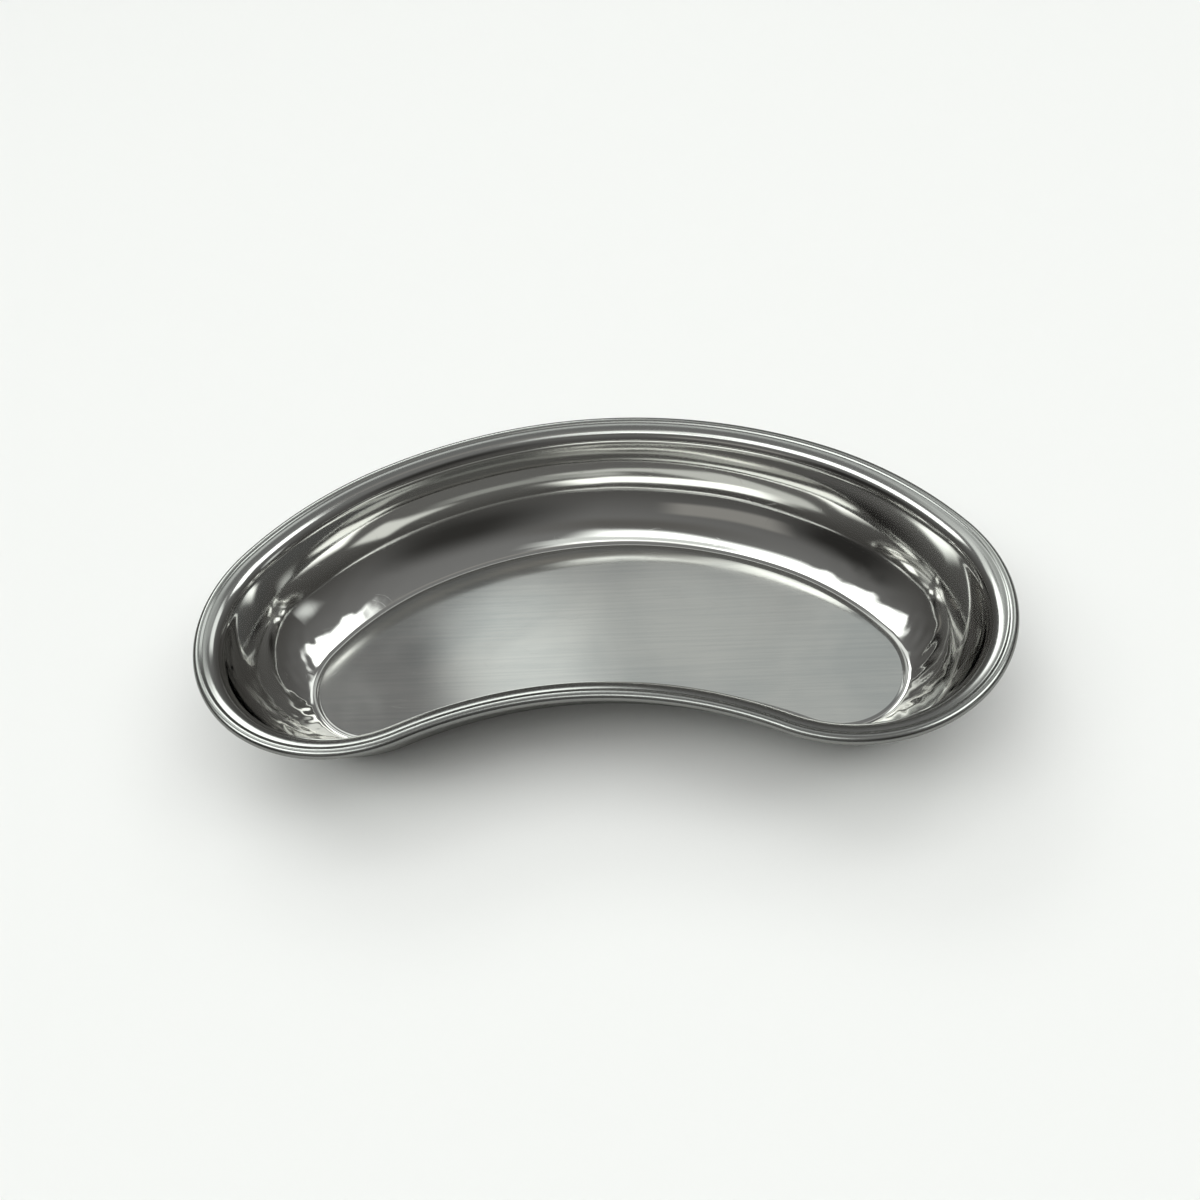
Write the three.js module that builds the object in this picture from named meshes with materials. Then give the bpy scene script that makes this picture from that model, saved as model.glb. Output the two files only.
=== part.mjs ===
// Kidney dish: one pressing of stainless sheet with a flat floor, a bulging wall, a short brim
// and a rolled edge. Millimetres, +Z up. The origin is under the middle of the dish, on the
// plane that it stands on; the round back faces +Y and the hollow front faces -Y.
import * as THREE from "three";

// Overall sizes, over the rolled edge
const overallLength = 250;
const overallWidth = 134;
const overallHeight = 38;

// Plan outline of the rolled edge's outermost line
const lobeRadius = 50;
const hollowRadius = 125;
const backFlattening = 10; // how much longer the back's radius is than one arc from lobe to lobe
const backShare = 0.575; // share of the back's turn that lies on its flatter middle arc

// Section of the sheet: lengths along its middle surface, angles from level
const sheetThickness = 0.6;
const footRadius = 4; // bend from the floor into the wall
const wallFootAngle = 35;
const wallTopAngle = 86;
const shoulderRadius = 5.2; // bend from the wall out into the brim
const brimSlope = 10;
const brimWidth = 0.4;
const grooveRadius = 1.6; // bend from the brim up into the rolled edge
const grooveAngle = 40;
const curlRadius = 1.4;
const curlEndAngle = -270; // the cut edge stops short of the brim's underside

// Steps in which each bend is divided
const steps = {
  back: 4,
  haunch: 3,
  lobeBack: 4,
  lobeEnd: 8,
  lobeFront: 5,
  hollow: 5,
  foot: 3,
  wall: 8,
  shoulder: 4,
  groove: 2,
  curlTop: 2,
  curlSide: 3,
  curlUnder: 6,
};

const radians = THREE.MathUtils.degToRad;
const sine = (degrees) => Math.sin(radians(degrees));
const cosine = (degrees) => Math.cos(radians(degrees));

// The outline's right half, from the middle of the back clockwise to the middle of the front, as
// arcs. A side of 1 has the arc's centre within the dish, and a side of -1 has it outside.
function outlineArcs() {
  const lobe = new THREE.Vector2(overallLength / 2 - lobeRadius, lobeRadius - overallWidth / 2);
  const reach = overallWidth - lobeRadius;
  const tangentRadius =
    (lobe.x ** 2 + reach ** 2 - lobeRadius ** 2) / (2 * (reach - lobeRadius));
  const backRadius = tangentRadius + backFlattening;
  const back = new THREE.Vector2(0, overallWidth / 2 - backRadius);
  const backHalfAngle = backShare * Math.asin(lobe.x / (tangentRadius - lobeRadius));
  const heading = new THREE.Vector2(Math.sin(backHalfAngle), Math.cos(backHalfAngle));

  // The haunch arc leaves the back arc tangentially and lands tangentially on the lobe.
  const toLobe = lobe.clone().sub(back);
  const gap = backRadius - lobeRadius;
  const inset = (gap ** 2 - toLobe.lengthSq()) / (2 * (gap - toLobe.dot(heading)));
  const haunch = back.clone().addScaledVector(heading, inset);
  const haunchRadius = backRadius - inset;
  const haunchEnd = lobe.clone().sub(haunch).angle();

  const hollowDepth = Math.sqrt((lobeRadius + hollowRadius) ** 2 - lobe.x ** 2);
  const hollow = new THREE.Vector2(0, lobe.y - hollowDepth);
  const hollowStart = lobe.clone().sub(hollow).angle();

  const top = Math.PI / 2;
  const backEnd = top - backHalfAngle;
  const lobeEnd = hollowStart - Math.PI;
  const onBack = { centre: back, radius: backRadius, side: 1 };
  const onHaunch = { centre: haunch, radius: haunchRadius, side: 1 };
  const onLobe = { centre: lobe, radius: lobeRadius, side: 1 };
  const onHollow = { centre: hollow, radius: hollowRadius, side: -1 };
  return [
    { ...onBack, from: top, to: backEnd, count: steps.back },
    { ...onHaunch, from: backEnd, to: haunchEnd, count: steps.haunch },
    { ...onLobe, from: haunchEnd, to: 0, count: steps.lobeBack },
    { ...onLobe, from: 0, to: -top, count: steps.lobeEnd },
    { ...onLobe, from: -top, to: lobeEnd, count: steps.lobeFront },
    { ...onHollow, from: hollowStart, to: top, count: steps.hollow },
  ];
}

// Places round the whole outline, clockwise from above. Each gives the point at an inset.
function outlineStations() {
  const half = [];
  for (const arc of outlineArcs()) {
    for (let i = 0; i < arc.count; i++) {
      const angle = THREE.MathUtils.lerp(arc.from, arc.to, i / arc.count);
      half.push({ ...arc, angle, mirror: 1 });
    }
  }
  const last = { ...outlineArcs().at(-1), angle: Math.PI / 2, mirror: 1 };
  const mirrored = half.slice(1).reverse();
  return [...half, last, ...mirrored.map((station) => ({ ...station, mirror: -1 }))];
}

function pointAt(station, inset, height) {
  const radius = station.radius - station.side * inset;
  return new THREE.Vector3(
    station.mirror * (station.centre.x + radius * Math.cos(station.angle)),
    station.centre.y + radius * Math.sin(station.angle),
    height,
  );
}

// The wall's radius is whatever brings the rolled edge to the overall height.
function wallRadius() {
  const rise =
    footRadius * (1 - cosine(wallFootAngle)) +
    shoulderRadius * (cosine(brimSlope) - cosine(wallTopAngle)) +
    brimWidth * sine(brimSlope) +
    grooveRadius * (cosine(brimSlope) - cosine(grooveAngle)) +
    curlRadius * (1 - cosine(grooveAngle));
  return (overallHeight - sheetThickness - rise) / (cosine(wallFootAngle) - cosine(wallTopAngle));
}

// The sheet's middle surface in section, from the floor outwards to the cut edge: points with
// the heading that the sheet has there, out being the distance from the floor's edge.
function sheetSection() {
  const path = [{ out: 0, height: sheetThickness / 2, heading: 0 }];
  const bend = (radius, endHeading, count) => {
    const start = path.at(-1);
    const turn = Math.sign(endHeading - start.heading);
    for (let i = 1; i <= count; i++) {
      const heading = THREE.MathUtils.lerp(start.heading, endHeading, i / count);
      path.push({
        out: start.out + turn * radius * (sine(heading) - sine(start.heading)),
        height: start.height + turn * radius * (cosine(start.heading) - cosine(heading)),
        heading,
      });
    }
  };
  const straight = (length) => {
    const { out, height, heading } = path.at(-1);
    path.push({ out: out + length * cosine(heading), height: height + length * sine(heading), heading });
  };
  bend(footRadius, wallFootAngle, steps.foot);
  bend(wallRadius(), wallTopAngle, steps.wall);
  bend(shoulderRadius, brimSlope, steps.shoulder);
  straight(brimWidth);
  bend(grooveRadius, grooveAngle, steps.groove);
  bend(curlRadius, 0, steps.curlTop);
  bend(curlRadius, -90, steps.curlSide);
  const outermost = path.at(-1).out + sheetThickness / 2;
  bend(curlRadius, curlEndAngle, steps.curlUnder);
  return { path, outermost };
}

// Both faces of the sheet, as insets from the outermost line and heights: up the inside from
// the floor to the cut edge, then back along the underside to the base.
function sectionProfile() {
  const { path, outermost } = sheetSection();
  const face = (side) =>
    path.map(({ out, height, heading }) => ({
      inset: outermost - (out - (side * sheetThickness * sine(heading)) / 2),
      height: height + (side * sheetThickness * cosine(heading)) / 2,
    }));
  return [...face(1), ...face(-1).reverse()];
}

function dishGeometry() {
  const stations = outlineStations();
  const profile = sectionProfile();
  const positions = [];
  for (const station of stations) {
    for (const { inset, height } of profile) {
      positions.push(...pointAt(station, inset, height).toArray());
    }
  }

  const triangles = [];
  const index = (i, j) => (i % stations.length) * profile.length + j;
  for (let i = 0; i < stations.length; i++) {
    for (let j = 0; j + 1 < profile.length; j++) {
      triangles.push(index(i, j), index(i + 1, j), index(i, j + 1));
      triangles.push(index(i + 1, j), index(i + 1, j + 1), index(i, j + 1));
    }
  }

  // The floor's two flat faces close the band round it.
  const floorEdge = stations.map((station) => pointAt(station, profile[0].inset, 0));
  const outline = floorEdge.map((point) => new THREE.Vector2(point.x, point.y));
  const base = profile.length - 1;
  for (const [a, b, c] of THREE.ShapeUtils.triangulateShape(outline, [])) {
    triangles.push(index(a, 0), index(b, 0), index(c, 0));
    triangles.push(index(a, base), index(c, base), index(b, base));
  }

  const geometry = new THREE.BufferGeometry();
  geometry.setAttribute("position", new THREE.Float32BufferAttribute(positions, 3));
  geometry.setIndex(triangles);
  geometry.computeVertexNormals();
  return geometry;
}

const stainlessSteel = new THREE.MeshStandardMaterial({
  color: 0xb4b5b1,
  roughness: 0.15,
  metalness: 1,
});

const dish = new THREE.Mesh(dishGeometry(), stainlessSteel);
dish.name = "dish";

const kidneyDish = new THREE.Group();
kidneyDish.add(dish);

export default kidneyDish;
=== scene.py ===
import math

import bmesh
import bpy
import numpy as np
from mathutils import Matrix, Quaternion, Vector


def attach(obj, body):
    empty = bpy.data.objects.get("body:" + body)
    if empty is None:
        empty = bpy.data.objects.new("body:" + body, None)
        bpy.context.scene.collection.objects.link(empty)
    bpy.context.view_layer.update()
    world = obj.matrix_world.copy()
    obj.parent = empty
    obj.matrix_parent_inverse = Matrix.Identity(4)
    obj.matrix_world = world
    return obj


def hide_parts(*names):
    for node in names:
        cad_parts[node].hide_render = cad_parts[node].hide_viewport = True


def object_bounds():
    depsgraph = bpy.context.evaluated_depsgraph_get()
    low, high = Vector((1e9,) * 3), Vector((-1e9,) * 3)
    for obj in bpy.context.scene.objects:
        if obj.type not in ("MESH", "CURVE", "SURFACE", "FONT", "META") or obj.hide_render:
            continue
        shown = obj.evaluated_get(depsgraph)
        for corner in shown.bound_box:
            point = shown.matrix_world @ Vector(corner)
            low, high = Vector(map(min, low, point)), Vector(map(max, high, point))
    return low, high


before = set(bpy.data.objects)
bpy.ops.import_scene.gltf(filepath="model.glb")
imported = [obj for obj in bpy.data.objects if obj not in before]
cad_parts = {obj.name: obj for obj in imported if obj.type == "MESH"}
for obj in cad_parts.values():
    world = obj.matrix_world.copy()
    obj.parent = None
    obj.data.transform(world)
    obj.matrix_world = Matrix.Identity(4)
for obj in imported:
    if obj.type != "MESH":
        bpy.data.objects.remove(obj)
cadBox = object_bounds()
print("frame loaded, solids:", len(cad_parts))


# ---- the pressing
# Metres and degrees. The overall length, width and height come from the frame.
dishShape = {
    "lobeRadius": 0.050,
    "hollowRadius": 0.125,
    "backFlattening": 0.010,  # how much longer the back's radius is than one arc from lobe to lobe
    "backShare": 0.575,  # share of the back's turn that lies on its flatter middle arc
    "sheet": 0.0006,
    "footRadius": 0.004,
    "wallFootAngle": 35,
    "wallTopAngle": 86,
    "shoulderRadius": 0.0052,
    "brimSlope": 10,
    "brimWidth": 0.0004,
    "grooveRadius": 0.0016,
    "grooveAngle": 40,
    "curlRadius": 0.0014,
    "curlEndAngle": -270,
}

# How finely each stretch is divided
dishSteps = {
    "back": 30,
    "haunch": 20,
    "lobeBack": 24,
    "lobeEnd": 58,
    "lobeFront": 28,
    "hollow": 50,  # back and haunch together, so that the floor's lines meet along its middle
    "floor": 9,
    "foot": 8,
    "wall": 34,
    "shoulder": 12,
    "brim": 1,
    "groove": 4,
    "curlTop": 5,
    "curlSide": 7,
    "curlUnder": 14,
    "weldGap": 1e-7,  # metres within which the floor's lines are joined
}

# What the press and the polishing wheel leave in the metal
dishHandwork = {
    "seed": 11,
    "stretch": (0.6, 1.7),  # how far a single ripple's lengths may differ from those below
    "wallWave": 0.000018,  # long waves round the wall
    "wallWaveCount": 5,
    "wallWaveLengths": (0.060, 0.045),  # round the dish and across the sheet, as below
    "wallWaveZone": (0.003, 0.012, 0.034, 0.042),  # distances from the floor's edge, as below
    "pucker": 0.00005,  # short creases where the metal bunched up low on the lobes' wall
    "puckerCount": 14,
    "puckerLengths": (0.0110, 0.0090),
    "puckerZone": (0.001, 0.005, 0.009, 0.019),
    "lobeShares": (0.60, 0.82),  # shares of half the length between which the creases come in
    "edgeWrinkle": 0.00009,  # unevenness of the cut edge under the brim
    "edgeWrinkleCount": 5,
    "edgeWrinkleLengths": (0.0035, 0.05),
    "edgeWrinkleStart": (0.0530, 0.0552),
}


def sine(degrees):
    return math.sin(math.radians(degrees))


def cosine(degrees):
    return math.cos(math.radians(degrees))


def outlineArcs(length, width):
    # right half, from the middle of the back clockwise to the middle of the front
    shape, steps = dishShape, dishSteps
    lobeRadius, hollowRadius = shape["lobeRadius"], shape["hollowRadius"]
    lobe = np.array([length / 2 - lobeRadius, lobeRadius - width / 2])
    reach = width - lobeRadius
    tangentRadius = (lobe[0] ** 2 + reach**2 - lobeRadius**2) / (2 * (reach - lobeRadius))
    backRadius = tangentRadius + shape["backFlattening"]
    back = np.array([0, width / 2 - backRadius])
    halfAngle = shape["backShare"] * math.asin(lobe[0] / (tangentRadius - lobeRadius))
    heading = np.array([math.sin(halfAngle), math.cos(halfAngle)])

    # the haunch leaves the back arc tangentially and lands tangentially on the lobe
    toLobe = lobe - back
    gap = backRadius - lobeRadius
    shift = (gap**2 - toLobe @ toLobe) / (2 * (gap - toLobe @ heading))
    haunch = back + heading * shift
    haunchRadius = backRadius - shift
    haunchEnd = math.atan2(lobe[1] - haunch[1], lobe[0] - haunch[0])

    hollowDepth = math.sqrt((lobeRadius + hollowRadius) ** 2 - lobe[0] ** 2)
    hollow = np.array([0, lobe[1] - hollowDepth])
    hollowStart = math.atan2(lobe[1] - hollow[1], lobe[0] - hollow[0])

    top = math.pi / 2
    backEnd = top - halfAngle
    lobeEnd = hollowStart - math.pi
    return [
        (back, backRadius, top, backEnd, 1, steps["back"]),
        (haunch, haunchRadius, backEnd, haunchEnd, 1, steps["haunch"]),
        (lobe, lobeRadius, haunchEnd, 0, 1, steps["lobeBack"]),
        (lobe, lobeRadius, 0, -top, 1, steps["lobeEnd"]),
        (lobe, lobeRadius, -top, lobeEnd, 1, steps["lobeFront"]),
        (hollow, hollowRadius, hollowStart, top, -1, steps["hollow"]),
    ]


def outlineStations(length, width):
    # one row a station: centre x, centre y, radius, side, and the direction's cosine and sine
    half = []
    for centre, radius, start, end, side, count in outlineArcs(length, width):
        for i in range(count):
            angle = start + (end - start) * i / count
            half.append([*centre, radius, side, math.cos(angle), math.sin(angle)])
    centre, radius, start, end, side, count = outlineArcs(length, width)[-1]
    last = [*centre, radius, side, math.cos(end), math.sin(end)]
    right = np.array([*half, last])
    left = right[1:-1][::-1].copy()
    left[:, [0, 4]] *= -1
    return np.vstack([right, left])


def sectionPath(height):
    # the sheet's middle surface from the floor's edge outwards: out, height, heading, distance
    shape, steps = dishShape, dishSteps
    path = [(0, shape["sheet"] / 2, 0, 0)]

    def bend(radius, end, count):
        out, up, start, along = path[-1]
        turn = math.copysign(1, end - start)
        for i in range(1, count + 1):
            heading = start + (end - start) * i / count
            path.append((
                out + turn * radius * (sine(heading) - sine(start)),
                up + turn * radius * (cosine(start) - cosine(heading)),
                heading,
                along + radius * math.radians(abs(heading - start)),
            ))

    def straight(length, count):
        out, up, heading, along = path[-1]
        for i in range(1, count + 1):
            part = length * i / count
            path.append((
                out + part * cosine(heading),
                up + part * sine(heading),
                heading,
                along + part,
            ))

    foot, wallTop, brim, groove = (
        shape[name] for name in ("wallFootAngle", "wallTopAngle", "brimSlope", "grooveAngle")
    )
    rise = (
        shape["footRadius"] * (1 - cosine(foot))
        + shape["shoulderRadius"] * (cosine(brim) - cosine(wallTop))
        + shape["brimWidth"] * sine(brim)
        + shape["grooveRadius"] * (cosine(brim) - cosine(groove))
        + shape["curlRadius"] * (1 - cosine(groove))
    )
    wallRadius = (height - shape["sheet"] - rise) / (cosine(foot) - cosine(wallTop))
    bend(shape["footRadius"], foot, steps["foot"])
    bend(wallRadius, wallTop, steps["wall"])
    bend(shape["shoulderRadius"], brim, steps["shoulder"])
    straight(shape["brimWidth"], steps["brim"])
    bend(shape["grooveRadius"], groove, steps["groove"])
    bend(shape["curlRadius"], 0, steps["curlTop"])
    bend(shape["curlRadius"], -90, steps["curlSide"])
    outermost = path[-1][0] + shape["sheet"] / 2
    bend(shape["curlRadius"], shape["curlEndAngle"], steps["curlUnder"])
    return np.array(path), outermost


def smooth(low, high, value):
    part = np.clip((value - low) / (high - low), 0, 1)
    return part * part * (3 - 2 * part)


def within(zone, value):
    # comes in between the zone's first two limits and goes out between its last two
    return smooth(zone[0], zone[1], value) * (1 - smooth(zone[2], zone[3], value))


def rollingWaves(around, along, lengths, count, draws):
    # irregular ripples about zero, as a sum of sines in scattered directions
    total = 0
    for _ in range(count):
        stretch = draws.uniform(*dishHandwork["stretch"], 2) * draws.choice([-1, 1], 2)
        phase = draws.uniform(0, 2 * math.pi)
        turns = around / (lengths[0] * stretch[0]) + along / (lengths[1] * stretch[1])
        total = total + np.sin(2 * math.pi * turns + phase)
    return total / math.sqrt(count)


def handwork(around, lobeEnds, along):
    # how far the sheet stands off its true place, along its own normal
    work = dishHandwork
    draws = np.random.default_rng(work["seed"])
    wave, creases, wrinkles = (
        rollingWaves(around, along, work[kind + "Lengths"], work[kind + "Count"], draws)
        for kind in ("wallWave", "pucker", "edgeWrinkle")
    )
    return (
        work["wallWave"] * wave * within(work["wallWaveZone"], along)
        + work["pucker"] * creases * within(work["puckerZone"], along) * lobeEnds
        + work["edgeWrinkle"] * wrinkles * smooth(*work["edgeWrinkleStart"], along)
    )


def buildDish():
    low, high = cadBox
    length, width, height = high - low
    stations = outlineStations(length, width)
    path, outermost = sectionPath(height)
    sheet = dishShape["sheet"]
    centre, radius, side = stations[:, 0:2], stations[:, 2:3], stations[:, 3:4]
    ray = stations[:, 4:6]
    outward = ray * side

    # distance round the rim from the middle of the back, and how near each station is to a lobe
    rim = centre + ray * radius
    stepsRound = np.linalg.norm(np.roll(rim, -1, 0) - rim, axis=1)
    around = np.concatenate([[0], np.cumsum(stepsRound)[:-1]])
    rimLength = stepsRound.sum()
    lobeEnds = smooth(*dishHandwork["lobeShares"], np.abs(rim[:, 0]) / (length / 2))

    def columns(face):
        # one face of the sheet, face being 1 inside and -1 underneath
        points, marks = [], []
        for out, up, heading, along in path:
            lift = handwork(around, lobeEnds, along) + face * sheet / 2
            inset = outermost - out + lift * sine(heading)
            flat = rim - outward * inset[:, None]
            points.append(np.column_stack([flat, up + lift * cosine(heading)]))
            marks.append(along)
        return points, marks

    def floorColumns(edge, z):
        # lines from the floor's edge in to its middle line, halfway between the long sides
        half = len(stations) // 2
        run = dishSteps["hollow"]
        number = np.arange(len(stations))
        onRight = np.where(number > half, 2 * half - number, number)
        matched = np.clip(np.where(onRight > half / 2, half - onRight, onRight), 0, run)
        mirror = np.column_stack([np.where(number > half, -1, 1), np.ones(len(stations))])
        spine = (edge[matched, :2] + edge[half - matched, :2]) / 2 * mirror
        points, marks = [], []
        for i in range(1, dishSteps["floor"] + 1):
            part = i / dishSteps["floor"]
            flat = edge[:, :2] * (1 - part) + spine * part
            points.append(np.column_stack([flat, np.full(len(flat), z)]))
            marks.append(-np.linalg.norm(flat - edge[:, :2], axis=1).mean())
        return points, marks

    inside, insideMarks = columns(1)
    under, underMarks = columns(-1)
    floorIn, floorInMarks = floorColumns(inside[0], sheet)
    floorUnder, floorUnderMarks = floorColumns(under[0], 0)
    grid = np.stack([*floorIn[::-1], *inside, *under[::-1], *floorUnder], axis=1)
    marks = np.array([*floorInMarks[::-1], *insideMarks, *underMarks[::-1], *floorUnderMarks])
    count, across = grid.shape[:2]

    index = np.arange(count * across).reshape(count, across)
    following = np.roll(index, -1, 0)
    corners = [index[:, :-1], following[:, :-1], following[:, 1:], index[:, 1:]]
    quads = np.stack(corners, -1).reshape(-1, 4)

    mesh = bpy.data.meshes.new("pressedDish")
    mesh.from_pydata(grid.reshape(-1, 3).tolist(), [], quads.tolist())
    angle = 2 * math.pi * around / rimLength
    circle = rimLength / (2 * math.pi)
    wrap = np.empty((count, across, 3))
    wrap[..., 0] = (circle * np.cos(angle))[:, None]
    wrap[..., 1] = (circle * np.sin(angle))[:, None]
    wrap[..., 2] = marks
    stored = mesh.attributes.new("wrap", "FLOAT_VECTOR", "POINT").data
    stored.foreach_set("vector", wrap.astype(np.float32).ravel())

    # inside, cut edge and underside are three finishes
    edgeColumn = len(floorIn) + len(inside) - 1
    finish = np.full(across - 1, 0)
    finish[edgeColumn] = 1
    finish[edgeColumn + 1 :] = 2
    mesh.polygons.foreach_set("material_index", np.tile(finish, count).astype(np.int32))
    mesh.polygons.foreach_set("use_smooth", np.ones(len(quads), bool))
    dish = bpy.data.objects.new("pressed_dish", mesh)
    bpy.context.scene.collection.objects.link(dish)
    weldSpine(dish)
    return dish


def weldSpine(dish):
    # the floor's lines meet in pairs along its middle
    edit = bmesh.new()
    edit.from_mesh(dish.data)
    bmesh.ops.remove_doubles(edit, verts=edit.verts, dist=dishSteps["weldGap"])
    bmesh.ops.recalc_face_normals(edit, faces=edit.faces)
    edit.to_mesh(dish.data)
    edit.free()


# ---- shader tools
def addNode(tree, kind, inputs=None, **settings):
    node = tree.nodes.new(kind)
    for name, value in settings.items():
        setattr(node, name, value)
    for name, value in (inputs or {}).items():
        if isinstance(value, bpy.types.NodeSocket):
            tree.links.new(value, node.inputs[name])
        else:
            node.inputs[name].default_value = value
    return node


def combine(tree, operation, *values):
    sockets = dict(enumerate(values))
    return addNode(tree, "ShaderNodeMath", sockets, operation=operation).outputs[0]


def ramp(tree, value, low, high):
    settings = {"Value": value, "From Min": low, "From Max": high}
    node = addNode(tree, "ShaderNodeMapRange", settings, interpolation_type="SMOOTHSTEP")
    return node.outputs["Result"]


def mixed(tree, factor, first, second):
    # the mix node's sockets 6 and 7 are its colours
    settings = {0: factor, 6: first, 7: second}
    return addNode(tree, "ShaderNodeMix", settings, data_type="RGBA").outputs[2]


def mixedValue(tree, factor, first, second):
    # and 2 and 3 its numbers
    settings = {0: factor, 2: first, 3: second}
    return addNode(tree, "ShaderNodeMix", settings, data_type="FLOAT").outputs[0]


def bumped(tree, height):
    settings = {"Height": height, "Distance": 1.0, "Strength": 1.0}
    return addNode(tree, "ShaderNodeBump", settings).outputs["Normal"]


def newGroup(name, inputs, outputs):
    group = bpy.data.node_groups.new(name, "ShaderNodeTree")
    for label, default in inputs.items():
        kind = "NodeSocketVector" if isinstance(default, tuple) else "NodeSocketFloat"
        socket = group.interface.new_socket(label, in_out="INPUT", socket_type=kind)
        socket.default_value = default
    for label in outputs:
        group.interface.new_socket(label, in_out="OUTPUT", socket_type="NodeSocketFloat")
    given = group.nodes.new("NodeGroupInput").outputs
    out = group.nodes.new("NodeGroupOutput").inputs
    return group, given, out


def place(tree, group, inputs):
    return addNode(tree, "ShaderNodeGroup", inputs, node_tree=group).outputs


def scaled(tree, vector, scale):
    node = addNode(tree, "ShaderNodeVectorMath", operation="MULTIPLY")
    tree.links.new(vector, node.inputs[0])
    if isinstance(scale, bpy.types.NodeSocket):
        tree.links.new(scale, node.inputs[1])
    else:
        node.inputs[1].default_value = scale
    return node.outputs[0]


# ---- effects that the finishes share
# How each one's noise runs, and the range of the noise over which the effect comes in
effects = {
    "grainDetail": 5,
    "grainRoughness": 0.65,
    "hazeDetail": 3,
    "hazeDistortion": 0.6,
    "hazeRange": (0.35, 0.7),
    "scratchDetail": 1,
    "scratchDistortion": 0.4,
    "scratchPatches": 90,
    "scratchPatchRange": (0.5, 0.6),
    "speckRange": (0.80, 0.82),  # the higher it is, the fewer specks
}


def brushGrainGroup():
    # fine parallel streaks, left by belt or wheel
    inputs = {"Vector": (0, 0, 0), "Scale": (30, 900, 1)}
    group, given, out = newGroup("brushGrain", inputs, ["Grain"])
    settings = {
        "Vector": scaled(group, given["Vector"], given["Scale"]),
        "Scale": 1,
        "Detail": effects["grainDetail"],
        "Roughness": effects["grainRoughness"],
    }
    noise = addNode(group, "ShaderNodeTexNoise", settings)
    group.links.new(noise.outputs["Fac"], out["Grain"])
    return group


def polishHazeGroup():
    # cloudy patches where the polish is a little duller
    group, given, out = newGroup("polishHaze", {"Vector": (0, 0, 0), "Patches": 30.0}, ["Haze"])
    settings = {
        "Vector": given["Vector"],
        "Scale": given["Patches"],
        "Detail": effects["hazeDetail"],
        "Distortion": effects["hazeDistortion"],
    }
    noise = addNode(group, "ShaderNodeTexNoise", settings)
    group.links.new(ramp(group, noise.outputs["Fac"], *effects["hazeRange"]), out["Haze"])
    return group


def fineScratchesGroup():
    # hairline scratches: the thin places where a stretched noise crosses its middle
    inputs = {"Vector": (0, 0, 0), "Scale": (20, 200, 1), "Width": 0.004, "Share": 0.5}
    group, given, out = newGroup("fineScratches", inputs, ["Scratch"])
    settings = {
        "Vector": scaled(group, given["Vector"], given["Scale"]),
        "Scale": 1,
        "Detail": effects["scratchDetail"],
        "Distortion": effects["scratchDistortion"],
    }
    lines = addNode(group, "ShaderNodeTexNoise", settings)
    offset = combine(group, "ABSOLUTE", combine(group, "SUBTRACT", lines.outputs["Fac"], 0.5))
    thin = ramp(group, offset, given["Width"], 0.0)
    settings = {
        "Vector": given["Vector"],
        "Scale": effects["scratchPatches"],
        "Detail": effects["scratchDetail"],
    }
    where = addNode(group, "ShaderNodeTexNoise", settings).outputs["Fac"]
    inPatch = ramp(group, where, *effects["scratchPatchRange"])
    kept = combine(group, "MULTIPLY", inPatch, given["Share"])
    group.links.new(combine(group, "MULTIPLY", thin, kept), out["Scratch"])
    return group


def specksGroup():
    # scattered tiny pits and dark dots
    inputs = {"Vector": (0, 0, 0), "Spacing": 250.0, "Size": 0.1}
    group, given, out = newGroup("specks", inputs, ["Speck"])
    settings = {"Vector": given["Vector"], "Scale": given["Spacing"]}
    cells = addNode(group, "ShaderNodeTexVoronoi", settings)
    dot = ramp(group, cells.outputs["Distance"], given["Size"], 0.0)
    chosen = addNode(group, "ShaderNodeSeparateColor", {"Color": cells.outputs["Color"]}).outputs[0]
    few = ramp(group, chosen, *effects["speckRange"])
    group.links.new(combine(group, "MULTIPLY", dot, few), out["Speck"])
    return group


# ---- finishes
# Scales are repeats a metre. Starts and ends are distances in metres from the floor's edge, less
# than nought on the floor.
insideFinish = {
    "steel": (0.64, 0.635, 0.615, 1),
    "mirrorRoughness": 0.045,
    "wallHaze": 0.02,  # roughness that cloudy patches add to the wall
    "floorHaze": 0.05,
    "hazePatches": 28.0,
    "floorRoughness": 0.07,
    "floorStart": 0.0008,
    "floorEnd": -0.0012,
    # painted shade: the rolled edge is coloured darker to stand in for the dim reflection it shows
    "beadPaintedShade": (0.44, 0.445, 0.43, 1),
    "beadRoughness": 0.14,  # added where the shoulder runs out into the rolled edge
    "shoulderStart": 0.0400,
    "beadStart": 0.0475,
    "clouded": (0.50, 0.515, 0.51, 1),  # floor where it's stained by water and handling
    "cloudPatches": 17.0,
    "cloudShare": 0.7,  # how far cloudy patches and brushed streaks darken the floor
    "streakShare": 0.25,
    "streakRange": (0.40, 0.62),
    "grainScale": (18, 900, 1),
    "grainHeight": 0.0000006,
    "warpScale": 20,
    "warpDetail": 0,
    "floorWarp": 0.0005,
    "wheelScale": (60, 60, 1500),
    "wheelHeight": 0.0000003,
    "scratchScale": (90, 160, 90),
    "scratchShare": 0.8,
    "scratchDepth": 0.000002,
}

underFinish = {
    "steel": (0.64, 0.635, 0.615, 1),
    "dull": (0.50, 0.49, 0.45, 1),
    "speck": (0.12, 0.11, 0.1, 1),
    "speckSpacing": 300.0,
    "mirrorRoughness": 0.05,
    "mirrorHaze": 0.03,
    "millRoughness": 0.42,
    "millHaze": 0.06,
    "hazePatches": 35.0,
    "polishStart": 0.0007,
    "startFade": 0.0008,
    "polishEnd": 0.0375,
    "endFade": 0.0015,
    "wander": 0.0012,  # how far the ends of the polish wander
    "wanderScale": 60,
    "wanderDetail": 2,
    "millScale": (500, 900, 500),
    "millHeight": 0.000004,
    "wheelScale": (60, 60, 1400),
    "wheelHeight": 0.0000004,
}

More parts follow.
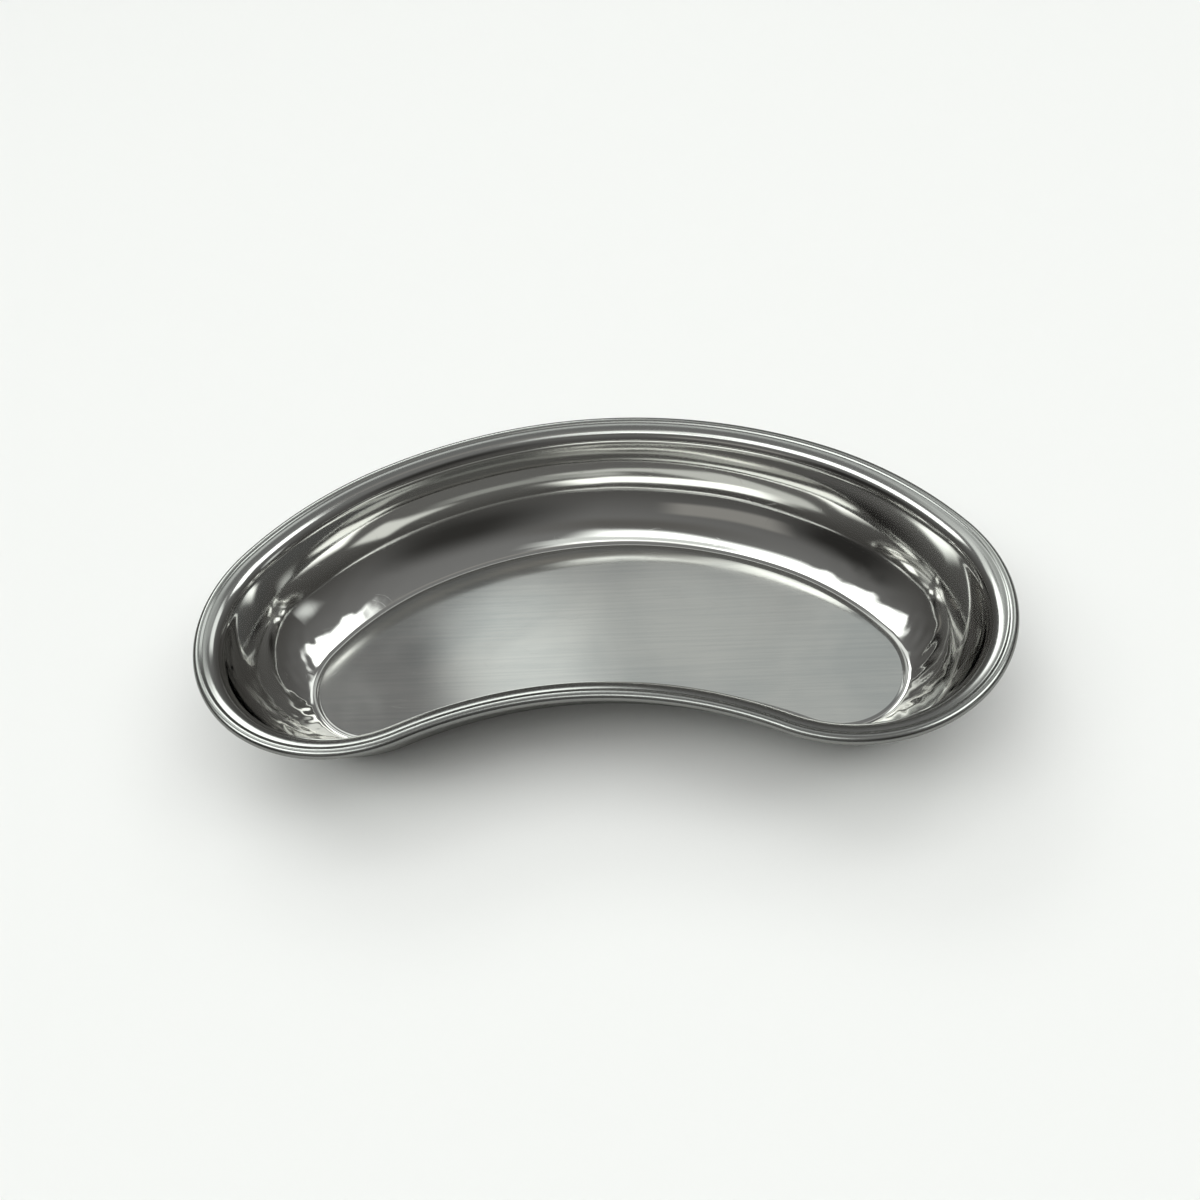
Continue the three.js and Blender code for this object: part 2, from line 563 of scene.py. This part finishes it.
edgeFinish = {
    "steel": (0.35, 0.34, 0.32, 1),
    "roughness": 0.5,
    "burrRoughness": 0.2,
    "burrScale": (900, 900, 900),
    "burrHeight": 0.00001,
}


def newMaterial(name):
    material = bpy.data.materials.new(name)
    material.use_nodes = True
    tree = material.node_tree
    tree.nodes.clear()
    shader = addNode(tree, "ShaderNodeBsdfPrincipled", {"Metallic": 1.0})
    surface = addNode(tree, "ShaderNodeOutputMaterial")
    tree.links.new(shader.outputs["BSDF"], surface.inputs["Surface"])
    return material, tree, shader.inputs


def attribute(tree, name, output):
    return addNode(tree, "ShaderNodeAttribute", attribute_name=name).outputs[output]


def insideMaterial(groups):
    # satin floor that runs into a mirror-polished wall and shoulder, and a duller rolled edge whose
    # darker colour is painted shade for its dim reflection
    look = insideFinish
    material, tree, shader = newMaterial("polished_inside")
    wrap = attribute(tree, "wrap", "Vector")
    along = addNode(tree, "ShaderNodeSeparateXYZ", {"Vector": wrap}).outputs["Z"]
    position = addNode(tree, "ShaderNodeTexCoord").outputs["Object"]
    floor = ramp(tree, along, look["floorStart"], look["floorEnd"])
    bead = ramp(tree, along, look["shoulderStart"], look["beadStart"])

    brushed = {"Vector": position, "Scale": look["grainScale"]}
    grain = place(tree, groups["grain"], brushed)["Grain"]
    wheel = place(tree, groups["grain"], {"Vector": wrap, "Scale": look["wheelScale"]})["Grain"]
    haze = place(tree, groups["haze"], {"Vector": position, "Patches": look["hazePatches"]})["Haze"]
    cloud = place(tree, groups["haze"], {"Vector": position, "Patches": look["cloudPatches"]})["Haze"]
    scratched = {"Vector": position, "Scale": look["scratchScale"], "Share": look["scratchShare"]}
    scratch = place(tree, groups["scratches"], scratched)["Scratch"]

    polished = combine(tree, "MULTIPLY_ADD", haze, look["wallHaze"], look["mirrorRoughness"])
    satin = combine(tree, "MULTIPLY_ADD", haze, look["floorHaze"], look["floorRoughness"])
    roughness = mixedValue(tree, floor, polished, satin)
    roughness = combine(tree, "MULTIPLY_ADD", bead, look["beadRoughness"], roughness)
    tree.links.new(roughness, shader["Roughness"])

    warped = {"Vector": position, "Scale": look["warpScale"], "Detail": look["warpDetail"]}
    warp = addNode(tree, "ShaderNodeTexNoise", warped).outputs["Fac"]
    height = combine(tree, "MULTIPLY", grain, look["grainHeight"])
    height = combine(tree, "MULTIPLY_ADD", warp, look["floorWarp"], height)
    height = combine(tree, "MULTIPLY", height, floor)
    height = combine(tree, "MULTIPLY_ADD", wheel, look["wheelHeight"], height)
    height = combine(tree, "MULTIPLY_ADD", scratch, -look["scratchDepth"], height)
    tree.links.new(bumped(tree, height), shader["Normal"])

    streaks = ramp(tree, grain, *look["streakRange"])
    marks = combine(tree, "MULTIPLY", cloud, look["cloudShare"])
    marks = combine(tree, "MULTIPLY_ADD", streaks, look["streakShare"], marks)
    stained = combine(tree, "MULTIPLY", marks, floor)
    colour = mixed(tree, stained, look["steel"], look["clouded"])
    # the rolled edge's darker colour is painted shade for its dim reflection
    tree.links.new(mixed(tree, bead, colour, look["beadPaintedShade"]), shader["Base Color"])
    return material


def underMaterial(groups):
    # dull base, polished outer wall, dull again under the shoulder and brim and inside the curl
    look = underFinish
    material, tree, shader = newMaterial("worked_underside")
    wrap = attribute(tree, "wrap", "Vector")
    along = addNode(tree, "ShaderNodeSeparateXYZ", {"Vector": wrap}).outputs["Z"]
    position = addNode(tree, "ShaderNodeTexCoord").outputs["Object"]
    wandering = {"Vector": wrap, "Scale": look["wanderScale"], "Detail": look["wanderDetail"]}
    wander = addNode(tree, "ShaderNodeTexNoise", wandering).outputs["Fac"]
    moved = combine(tree, "MULTIPLY_ADD", wander, look["wander"], along)
    started = ramp(tree, moved, look["polishStart"], look["polishStart"] + look["startFade"])
    ended = ramp(tree, moved, look["polishEnd"], look["polishEnd"] + look["endFade"])
    polish = combine(tree, "MULTIPLY", started, combine(tree, "SUBTRACT", 1.0, ended))

    wheel = place(tree, groups["grain"], {"Vector": wrap, "Scale": look["wheelScale"]})["Grain"]
    mill = place(tree, groups["grain"], {"Vector": position, "Scale": look["millScale"]})["Grain"]
    haze = place(tree, groups["haze"], {"Vector": position, "Patches": look["hazePatches"]})["Haze"]
    speckled = {"Vector": position, "Spacing": look["speckSpacing"]}
    speck = place(tree, groups["specks"], speckled)["Speck"]

    dull = combine(tree, "MULTIPLY_ADD", haze, look["millHaze"], look["millRoughness"])
    bright = combine(tree, "MULTIPLY_ADD", haze, look["mirrorHaze"], look["mirrorRoughness"])
    tree.links.new(mixedValue(tree, polish, dull, bright), shader["Roughness"])

    spotted = mixed(tree, speck, look["dull"], look["speck"])
    tree.links.new(mixed(tree, polish, spotted, look["steel"]), shader["Base Color"])

    unpolished = combine(tree, "SUBTRACT", 1.0, polish)
    rough = combine(tree, "MULTIPLY", combine(tree, "MULTIPLY", mill, unpolished), look["millHeight"])
    height = combine(tree, "MULTIPLY_ADD", wheel, look["wheelHeight"], rough)
    tree.links.new(bumped(tree, height), shader["Normal"])
    return material


def edgeMaterial(groups):
    # the sheet's cut edge, seen as a dark line under the brim
    look = edgeFinish
    material, tree, shader = newMaterial("cut_edge")
    wrap = attribute(tree, "wrap", "Vector")
    burr = place(tree, groups["grain"], {"Vector": wrap, "Scale": look["burrScale"]})["Grain"]
    roughness = combine(tree, "MULTIPLY_ADD", burr, look["burrRoughness"], look["roughness"])
    tree.links.new(roughness, shader["Roughness"])
    height = combine(tree, "MULTIPLY", burr, look["burrHeight"])
    tree.links.new(bumped(tree, height), shader["Normal"])
    shader["Base Color"].default_value = look["steel"]
    return material


# ---- studio
studio = {
    "floorColour": (0.88, 0.88, 0.87, 1),
    "floorInMetal": (0.42, 0.42, 0.41, 1),  # the floor as reflected, for the metal's contrast
    "floorRoughness": 0.8,
    "floorReach": 6.0,
    "fadeStart": 0.5,  # distance from the dish
    "fadeEnd": 2.5,
    "backdrop": (0.90, 0.90, 0.89, 1),
    "horizonGlow": (0.085, 0.083, 0.079, 1),
    "zenithGlow": (0.26, 0.262, 0.26, 1),
    "brightGlow": 0.5,  # panels above this glow are tinted cool, and the others warm
    "brightTint": (0.98, 1.02, 0.99),
    "dimTint": (1.02, 1.0, 0.95),
    "leastFacing": 0.01,  # cosine of the widest angle from a panel's middle at which it can show
}

# Soft panels and dark flags round the dish. Azimuth 0 is on the camera's side, towards -Y, and 90
# towards +X. width and height are angles, tilt turns a panel about its own middle, and softness
# is the share of the panel over which its edge fades.
panels = [
    {"azimuth": -60, "elevation": 56, "width": 72, "height": 24, "tilt": 28,
     "softness": 0.45, "glow": 3.2},
    {"azimuth": 88, "elevation": 49, "width": 40, "height": 25, "tilt": -38,
     "softness": 0.45, "glow": 3.2},
    {"azimuth": -130, "elevation": 50, "width": 22, "height": 40, "tilt": 0,
     "softness": 0.4, "glow": 1.2},
    {"azimuth": -153, "elevation": 64, "width": 30, "height": 12, "tilt": 0,
     "softness": 0.6, "glow": 1.2},
    {"azimuth": -154, "elevation": 38, "width": 40, "height": 19, "tilt": 0,
     "softness": 0.4, "glow": 3.2},
    {"azimuth": 143, "elevation": 42, "width": 30, "height": 24, "tilt": -28,
     "softness": 0.45, "glow": 1.5},
    {"azimuth": 178, "elevation": 56, "width": 34, "height": 15, "tilt": 0,
     "softness": 0.5, "glow": 0.62},
    {"azimuth": -164, "elevation": 54, "width": 12, "height": 13, "tilt": 0,
     "softness": 0.9, "glow": 1.0},
    {"azimuth": 14, "elevation": 72, "width": 62, "height": 16, "tilt": 0,
     "softness": 0.8, "glow": 0.36},
    {"azimuth": -18, "elevation": 59, "width": 36, "height": 6, "tilt": 5,
     "softness": 0.5, "glow": 0.95},
    {"azimuth": -56, "elevation": 17, "width": 44, "height": 34, "tilt": 0,
     "softness": 0.8, "glow": 0.03},
    {"azimuth": 24, "elevation": 27, "width": 52, "height": 44, "tilt": -25,
     "softness": 0.9, "glow": 0.04},
    {"azimuth": -29, "elevation": 27, "width": 26, "height": 14, "tilt": 10,
     "softness": 0.5, "glow": 0.34},
    {"azimuth": 70, "elevation": 16, "width": 9, "height": 20, "tilt": 8,
     "softness": 0.9, "glow": 0.9},
    {"azimuth": -14, "elevation": 45, "width": 50, "height": 16, "tilt": 0,
     "softness": 0.9, "glow": 0.15},
]


def direction(azimuth, elevation):
    flat = cosine(elevation)
    return Vector((sine(azimuth) * flat, -cosine(azimuth) * flat, sine(elevation)))


def addFloor():
    # pale round the dish, and running into the backdrop's own colour further out
    mesh = bpy.data.meshes.new("studioFloor")
    reach = studio["floorReach"]
    corners = [(-reach, -reach, 0), (reach, -reach, 0), (reach, reach, 0), (-reach, reach, 0)]
    mesh.from_pydata(corners, [], [(0, 1, 2, 3)])
    material, tree, shader = newMaterial("pale_floor")
    spot = addNode(tree, "ShaderNodeTexCoord").outputs["Object"]
    away = addNode(tree, "ShaderNodeVectorMath", {0: spot}, operation="LENGTH").outputs["Value"]
    far = ramp(tree, away, studio["fadeStart"], studio["fadeEnd"])
    seen = addNode(tree, "ShaderNodeLightPath").outputs["Is Camera Ray"]
    near = mixed(tree, seen, studio["floorInMetal"], studio["floorColour"])
    beyond = mixed(tree, seen, studio["horizonGlow"], studio["backdrop"])
    black = (0, 0, 0, 1)
    tree.links.new(mixed(tree, far, near, black), shader["Base Color"])
    tree.links.new(mixed(tree, far, black, beyond), shader["Emission Color"])
    shader["Emission Strength"].default_value = 1.0
    shader["Metallic"].default_value = 0.0
    shader["Roughness"].default_value = studio["floorRoughness"]
    shader["Specular IOR Level"].default_value = 0.0
    mesh.materials.append(material)
    floor = bpy.data.objects.new("studio_floor", mesh)
    bpy.context.scene.collection.objects.link(floor)


def softPanelGroup():
    # how much of a rectangular panel lies in a direction, fading towards its edges
    group, given, out = newGroup(
        "softPanel",
        {"Direction": (0, 0, 1), "Middle": (0, 0, 1), "Across": (1, 0, 0), "Up": (0, 1, 0),
         "Half Width": 0.5, "Half Height": 0.5, "Softness": 0.5},
        ["Cover"],
    )

    def share(axis):
        pair = {0: given["Direction"], 1: given[axis]}
        return addNode(group, "ShaderNodeVectorMath", pair, operation="DOT_PRODUCT").outputs["Value"]

    facing = share("Middle")
    cover = combine(group, "GREATER_THAN", facing, studio["leastFacing"])
    for axis, half in (("Across", "Half Width"), ("Up", "Half Height")):
        offset = combine(group, "ABSOLUTE", combine(group, "DIVIDE", share(axis), facing))
        solid = combine(group, "SUBTRACT", 1.0, given["Softness"])
        inner = combine(group, "MULTIPLY", given[half], solid)
        cover = combine(group, "MULTIPLY", cover, ramp(group, offset, given[half], inner))
    group.links.new(cover, out["Cover"])
    return group


def addWorld():
    world = bpy.data.worlds.new("studio")
    world.use_nodes = True
    tree = world.node_tree
    tree.nodes.clear()
    towards = addNode(tree, "ShaderNodeTexCoord").outputs["Generated"]
    height = addNode(tree, "ShaderNodeSeparateXYZ", {"Vector": towards}).outputs["Z"]
    glow = mixed(tree, ramp(tree, height, 0.0, 1.0), studio["horizonGlow"], studio["zenithGlow"])
    softPanel = softPanelGroup()
    for panel in panels:
        middle = direction(panel["azimuth"], panel["elevation"])
        across = middle.cross(Vector((0, 0, 1))).normalized()
        across.rotate(Quaternion(middle, math.radians(panel["tilt"])))
        settings = {
            "Direction": towards,
            "Middle": middle,
            "Across": across,
            "Up": across.cross(middle),
            "Half Width": math.tan(math.radians(panel["width"] / 2)),
            "Half Height": math.tan(math.radians(panel["height"] / 2)),
            "Softness": panel["softness"],
        }
        cover = place(tree, softPanel, settings)["Cover"]
        tint = studio["brightTint" if panel["glow"] > studio["brightGlow"] else "dimTint"]
        glow = mixed(tree, cover, glow, (*(panel["glow"] * part for part in tint), 1))
    seen = addNode(tree, "ShaderNodeLightPath").outputs["Is Camera Ray"]
    shown = mixed(tree, seen, glow, studio["backdrop"])
    background = addNode(tree, "ShaderNodeBackground", {"Color": shown})
    surface = addNode(tree, "ShaderNodeOutputWorld")
    tree.links.new(background.outputs["Background"], surface.inputs["Surface"])
    bpy.context.scene.world = world


fillLight = {
    "height": 2.2,
    "size": 2.6,
    "power": 25,
}


def addFillLight(target):
    # lights the pale floor evenly and leaves no reflection in the metal
    light = bpy.data.lights.new("fill", "AREA")
    light.size = fillLight["size"]
    light.energy = fillLight["power"]
    holder = bpy.data.objects.new("fill", light)
    holder.location = target + Vector((0, 0, fillLight["height"]))
    holder.visible_camera = False
    holder.visible_glossy = False
    bpy.context.scene.collection.objects.link(holder)


camera = {
    "azimuth": 8.44,
    "elevation": 51.3,
    "roll": -8.88,
    "distance": 0.359,
    "sensor": 36,
    "lens": 33.0,
    "nearest": 0.01,
    "farthest": 20,
}


def addCamera(target):
    data = bpy.data.cameras.new("camera")
    data.sensor_width = camera["sensor"]
    data.lens = camera["lens"]
    data.clip_start = camera["nearest"]
    data.clip_end = camera["farthest"]
    holder = bpy.data.objects.new("camera", data)
    back = direction(camera["azimuth"], camera["elevation"])
    level = (-back).to_track_quat("-Z", "Y").to_matrix().to_4x4()
    roll = Matrix.Rotation(math.radians(camera["roll"]), 4, "Z")
    holder.matrix_world = Matrix.Translation(target + back * camera["distance"]) @ level @ roll
    bpy.context.scene.collection.objects.link(holder)
    bpy.context.scene.camera = holder


def main():
    low, high = cadBox
    target = (low + high) / 2
    bpy.context.scene.view_settings.view_transform = "Standard"
    addWorld()
    addFloor()
    addFillLight(target)
    addCamera(target)
    print("studio set")

    groups = {
        "grain": brushGrainGroup(),
        "haze": polishHazeGroup(),
        "scratches": fineScratchesGroup(),
        "specks": specksGroup(),
    }
    dish = buildDish()
    for make in (insideMaterial, edgeMaterial, underMaterial):
        dish.data.materials.append(make(groups))
    print("dish pressed:", len(dish.data.polygons), "faces")
    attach(dish, "root")
    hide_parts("dish")


main()
